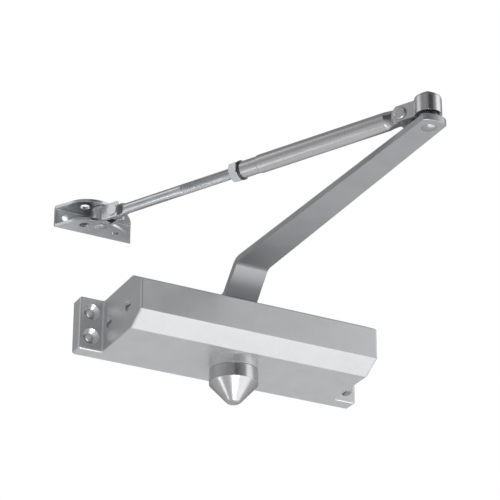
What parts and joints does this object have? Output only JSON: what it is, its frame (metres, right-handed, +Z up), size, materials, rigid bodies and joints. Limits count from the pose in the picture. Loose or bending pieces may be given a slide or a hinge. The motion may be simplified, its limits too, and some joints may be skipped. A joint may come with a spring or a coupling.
{
  "type": "door closer",
  "caption": "Surface-mounted rack-and-pinion door closer: a faceted casing with screw lugs, a conical spindle cap, a cranked flat arm and an adjustable folding forearm with a bracket.",
  "frame": {"origin": "centre of the casing's four screw holes, on the mounting plane that lies against the door", "axes": "+X along the casing towards the spring end, +Y into the door, +Z up along the spindle from the cap to the arm"},
  "size_m": [0.2708, 0.3163, 0.1268],
  "materials": {
    "painted_body": "satin silver paint over an aluminium casting",
    "painted_arm": "satin silver paint on steel bar",
    "cap_chrome": "polished plating",
    "zinc_plate": "bright zinc plating, slightly blue",
    "bright_steel": "polished steel",
    "dark_steel": "dark oiled steel",
    "hard_steel": "ground hardened steel",
    "spring_steel": "oil-tempered spring wire",
    "piston_iron": "ground iron",
    "seal_rubber": "oil-proof rubber",
    "brass_valve": "turned brass"
  },
  "bodies": {
    "body": {"body_casing": "painted_body", "channel_plug": "hard_steel", "upper_bearing": "hard_steel", "lower_bearing": "hard_steel", "upper_seal": "seal_rubber", "lower_seal": "seal_rubber", "upper_gland": "bright_steel", "lower_gland": "bright_steel", "spindle_cap": "cap_chrome", "end_plug": "bright_steel", "plug_seal": "seal_rubber", "outer_spring": "spring_steel", "inner_spring": "spring_steel"},
    "arm": {"pinion_spindle": "hard_steel", "main_arm": "painted_arm", "arm_washer": "zinc_plate", "arm_screw": "zinc_plate", "elbow_pin": "bright_steel", "elbow_spacer": "dark_steel", "elbow_washer": "bright_steel"},
    "piston": {"piston": "piston_iron", "piston_seal": "seal_rubber", "check_valve_seat": "brass_valve", "check_ball": "hard_steel"},
    "adjuster": {"spring_adjuster": "zinc_plate"},
    "seat": {"spring_seat": "bright_steel"},
    "closing_valve": {"closing_valve": "zinc_plate", "closing_valve_seal": "seal_rubber"},
    "latching_valve": {"latching_valve": "zinc_plate", "latching_valve_seal": "seal_rubber"},
    "strap": {"elbow_strap": "bright_steel", "elbow_rivet": "bright_steel"},
    "forearm": {"forearm_tube": "bright_steel", "lock_washer": "dark_steel"},
    "lock_nut": {"lock_nut": "zinc_plate"},
    "rod": {"adjusting_rod": "zinc_plate"},
    "link": {"shoe_link": "bright_steel", "link_rivet": "bright_steel"},
    "shoe": {"shoe_bracket": "zinc_plate", "shoe_pin": "bright_steel"}
  },
  "joints": [
    {"name": "spindle_turn", "type": "hinge", "parent": "body", "child": "arm", "pos_m": [-0.0046, -0.0413, 0], "axis": [0, 0, -1], "range_deg": [0, 175], "stiffness_Nm_per_rad": 5, "springref_deg": -45.84},
    {"name": "piston_slide", "type": "slide", "parent": "body", "child": "piston", "axis": [1, 0, 0], "range_m": [0, 0.024], "deforming": ["outer_spring", "inner_spring"]},
    {"name": "adjuster_turn", "type": "hinge", "parent": "body", "child": "adjuster", "pos_m": [0.09, -0.0413, 0], "axis": [1, 0, 0], "range_deg": [0, 1081]},
    {"name": "seat_slide", "type": "slide", "parent": "body", "child": "seat", "axis": [-1, 0, 0], "range_m": [0, 0.0045], "deforming": ["outer_spring", "inner_spring"]},
    {"name": "closing_valve_turn", "type": "hinge", "parent": "body", "child": "closing_valve", "pos_m": [-0.09, -0.0554, 0], "axis": [-1, 0, 0], "range_deg": [0, 540]},
    {"name": "latching_valve_turn", "type": "hinge", "parent": "body", "child": "latching_valve", "pos_m": [-0.09, -0.022, 0], "axis": [-1, 0, 0], "range_deg": [0, 540]},
    {"name": "elbow_turn", "type": "hinge", "parent": "arm", "child": "strap", "pos_m": [0.0022, -0.3063, 0.0605], "axis": [0, 0, 1], "range_deg": [-14, 300]},
    {"name": "forearm_tilt", "type": "hinge", "parent": "strap", "child": "forearm", "pos_m": [-0.0063, -0.28998, 0.0605], "axis": [-0.8868, -0.4622, 0], "range_deg": [-8, 3]},
    {"name": "rod_screw", "type": "slide", "parent": "forearm", "child": "rod", "axis": [-0.4622, 0.8868, 0], "range_m": [-0.015, 0.025]},
    {"name": "lock_nut_turn", "type": "hinge", "parent": "forearm", "child": "lock_nut", "pos_m": [-0.06851, -0.17062, 0.0605], "axis": [-0.4622, 0.8868, 0], "continuous": true},
    {"name": "link_tilt", "type": "hinge", "parent": "rod", "child": "link", "pos_m": [-0.11804, -0.07559, 0.0605], "axis": [-0.8868, -0.4622, 0], "range_deg": [-5, 5]},
    {"name": "shoe_turn", "type": "hinge", "parent": "link", "child": "shoe", "pos_m": [-0.1246, -0.063, 0.0605], "axis": [0, 0, 1], "range_deg": [-50, 105]}
  ],
  "couplings": [
    {"joint": "piston_slide", "follows": "spindle_turn", "m_per_rad": 0.0075},
    {"joint": "adjuster_turn", "follows": "seat_slide", "rad_per_m": 4188.8}
  ]
}
